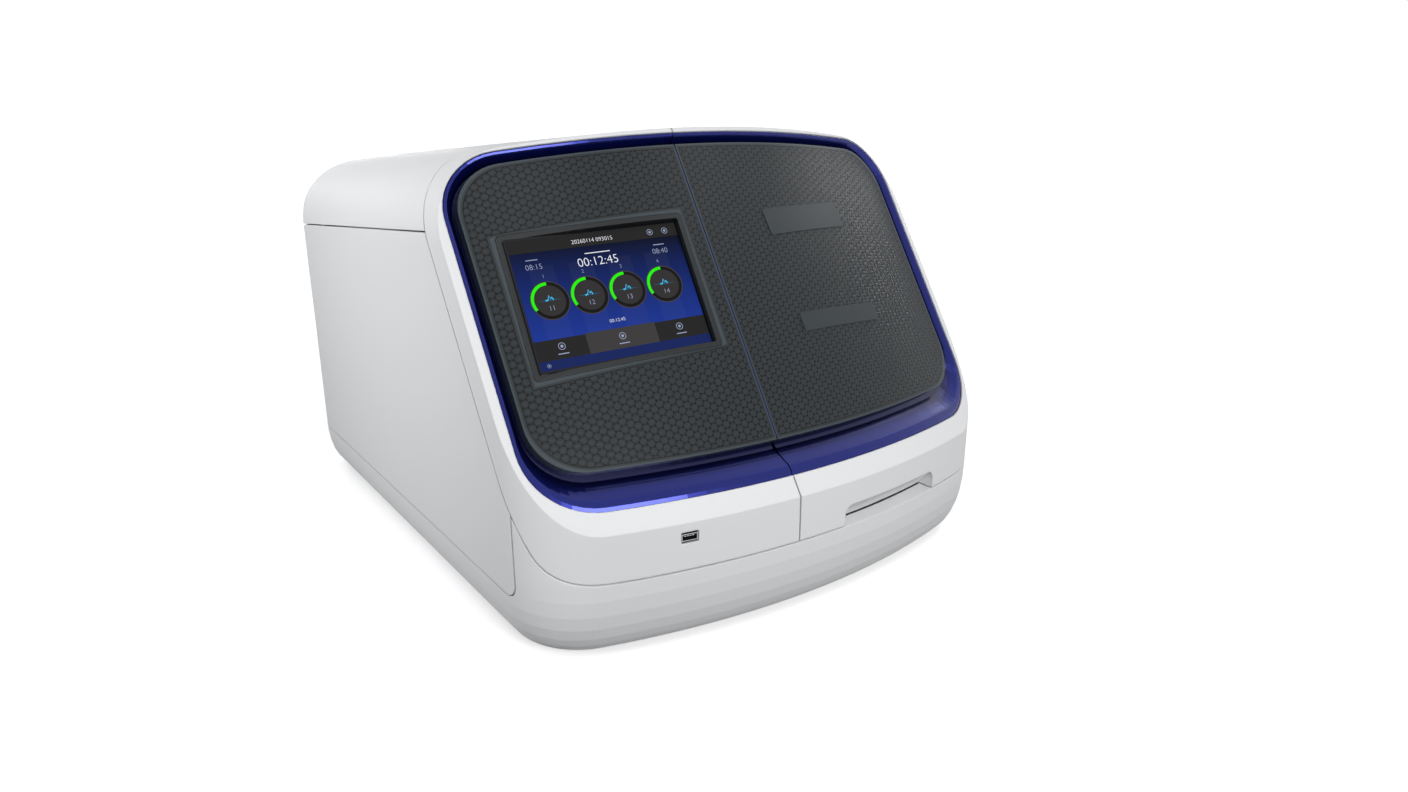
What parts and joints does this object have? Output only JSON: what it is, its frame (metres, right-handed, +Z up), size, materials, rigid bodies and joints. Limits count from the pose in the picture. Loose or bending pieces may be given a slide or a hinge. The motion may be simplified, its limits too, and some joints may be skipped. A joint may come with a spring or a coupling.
{
  "type": "benchtop sequencer",
  "caption": "Benchtop sequencer: wedge-fronted white housing, blue-edged dark face with touchscreen, lift-up door over a plate stage and cartridge, rear fans and sockets.",
  "frame": {"origin": "on the bench, under the middle of the instrument's bounding box", "axes": "+Z up, the leaning face with the screen looks along -Y, +X to the right of a person who faces it"},
  "size_m": [0.495, 0.605, 0.392],
  "materials": {
    "cover_white": "smooth satin moulded cover",
    "cap_white": "smooth satin moulded cover",
    "panel_dark": "charcoal, satin",
    "screen_frame": "charcoal, smooth",
    "trim_blue": "deep blue metallic lacquer",
    "screen_glass": "glossy touchscreen with a lit panel",
    "display_back": "plain sheet",
    "rubber_black": "matt",
    "liner_grey": "fine matt",
    "plastic_black": "matt",
    "steel_sheet": "zinc-plated sheet",
    "steel_bright": "ground",
    "aluminium_plain": "machined",
    "labware_clear": "translucent white",
    "cartridge_slate": "satin",
    "handle_blue": "satin",
    "board_green": "solder mask",
    "blank_grey": "plain unprinted plates"
  },
  "bodies": {
    "housing": {"base_housing": "cover_white", "feet": "rubber_black", "chassis_plate": "steel_sheet", "frame_uprights": "steel_sheet", "side_panel_left": "cover_white", "side_panel_right": "cover_white", "top_cover": "cap_white", "rear_panel": "cover_white", "fascia_left": "cover_white", "trim_left": "trim_blue", "dark_panel_left": "panel_dark", "screen_bezel": "screen_frame", "touchscreen_glass": "screen_glass", "display_module": "display_back", "front_port": "steel_bright", "bay_liner": "liner_grey", "bay_gasket": "rubber_black", "hinge_brackets": "steel_sheet", "hinge_pins": "steel_bright", "door_catch": "plastic_black", "guide_rods": "steel_bright", "leadscrew_motor": "plastic_black", "cross_beam": "steel_sheet", "bay_roof": "liner_grey", "rod_supports": "aluminium_plain", "cartridge_rails": "aluminium_plain", "lever_pivot": "steel_bright", "detection_optics": "plastic_black", "laser_module": "aluminium_plain", "high_voltage_supply": "steel_sheet", "power_supply": "steel_sheet", "main_board": "board_green", "board_heatsink": "aluminium_plain", "fan_frames": "plastic_black", "fan_guards": "steel_bright", "power_inlet": "plastic_black", "rocker_housing": "plastic_black", "data_ports": "steel_sheet", "cover_screws": "steel_bright"},
    "door": {"door_shell": "cover_white", "trim_door": "trim_blue", "dark_panel_door": "panel_dark", "seam_strip": "trim_blue", "blank_plates": "blank_grey", "door_liner": "liner_grey", "hinge_arms": "steel_sheet", "door_striker": "steel_sheet"},
    "carriage": {"carriage": "aluminium_plain"},
    "cross_stage": {"cross_stage": "aluminium_plain"},
    "lift_table": {"lift_table": "aluminium_plain"},
    "sample_plate": {"sample_plate": "labware_clear"},
    "buffer_reservoir": {"buffer_reservoir": "labware_clear"},
    "leadscrew": {"leadscrew": "steel_bright"},
    "cartridge": {"cartridge_body": "cartridge_slate", "cartridge_handle": "handle_blue", "capillary_array": "steel_bright"},
    "cartridge_lever": {"cartridge_lever": "plastic_black"},
    "fan_rotor_left": {"fan_rotor_left": "plastic_black"},
    "fan_rotor_right": {"fan_rotor_right": "plastic_black"},
    "power_rocker": {"power_rocker": "plastic_black"}
  },
  "joints": [
    {"name": "door_hinge", "type": "hinge", "parent": "housing", "child": "door", "pos_m": [0, -0.00174, 0.36479], "axis": [-1, 0, 0], "range_deg": [0, 70]},
    {"name": "carriage_slide", "type": "slide", "parent": "housing", "child": "carriage", "axis": [0, 1, 0], "range_m": [-0.06, 0.06]},
    {"name": "leadscrew_turn", "type": "hinge", "parent": "housing", "child": "leadscrew", "pos_m": [0.105, 0, 0.093], "axis": [0, 1, 0], "range_deg": [-1080, 1080]},
    {"name": "cross_slide", "type": "slide", "parent": "carriage", "child": "cross_stage", "axis": [1, 0, 0], "range_m": [-0.04, 0.04]},
    {"name": "table_lift", "type": "slide", "parent": "cross_stage", "child": "lift_table", "axis": [0, 0, 1], "range_m": [0, 0.018]},
    {"name": "sample_plate_lift_off", "type": "slide", "parent": "lift_table", "child": "sample_plate", "axis": [0, 0, 1], "range_m": [0, 0.008]},
    {"name": "reservoir_lift_off", "type": "slide", "parent": "lift_table", "child": "buffer_reservoir", "axis": [0, 0, 1], "range_m": [0, 0.008]},
    {"name": "cartridge_slide", "type": "slide", "parent": "housing", "child": "cartridge", "axis": [0, -1, 0], "range_m": [0, 0.09]},
    {"name": "cartridge_lever_turn", "type": "hinge", "parent": "housing", "child": "cartridge_lever", "pos_m": [0.1639, -0.006, 0.1705], "axis": [1, 0, 0], "range_deg": [0, 75]},
    {"name": "fan_left_turn", "type": "hinge", "parent": "housing", "child": "fan_rotor_left", "pos_m": [-0.168, 0.2843, 0.196], "axis": [0, 1, 0], "continuous": true},
    {"name": "fan_right_turn", "type": "hinge", "parent": "housing", "child": "fan_rotor_right", "pos_m": [-0.076, 0.2843, 0.196], "axis": [0, 1, 0], "continuous": true},
    {"name": "power_rocker_tilt", "type": "hinge", "parent": "housing", "child": "power_rocker", "pos_m": [-0.142, 0.29655, 0.084], "axis": [1, 0, 0], "range_deg": [-8, 8]}
  ],
  "couplings": [
    {"joint": "leadscrew_turn", "follows": "carriage_slide", "rad_per_m": 314.16}
  ]
}
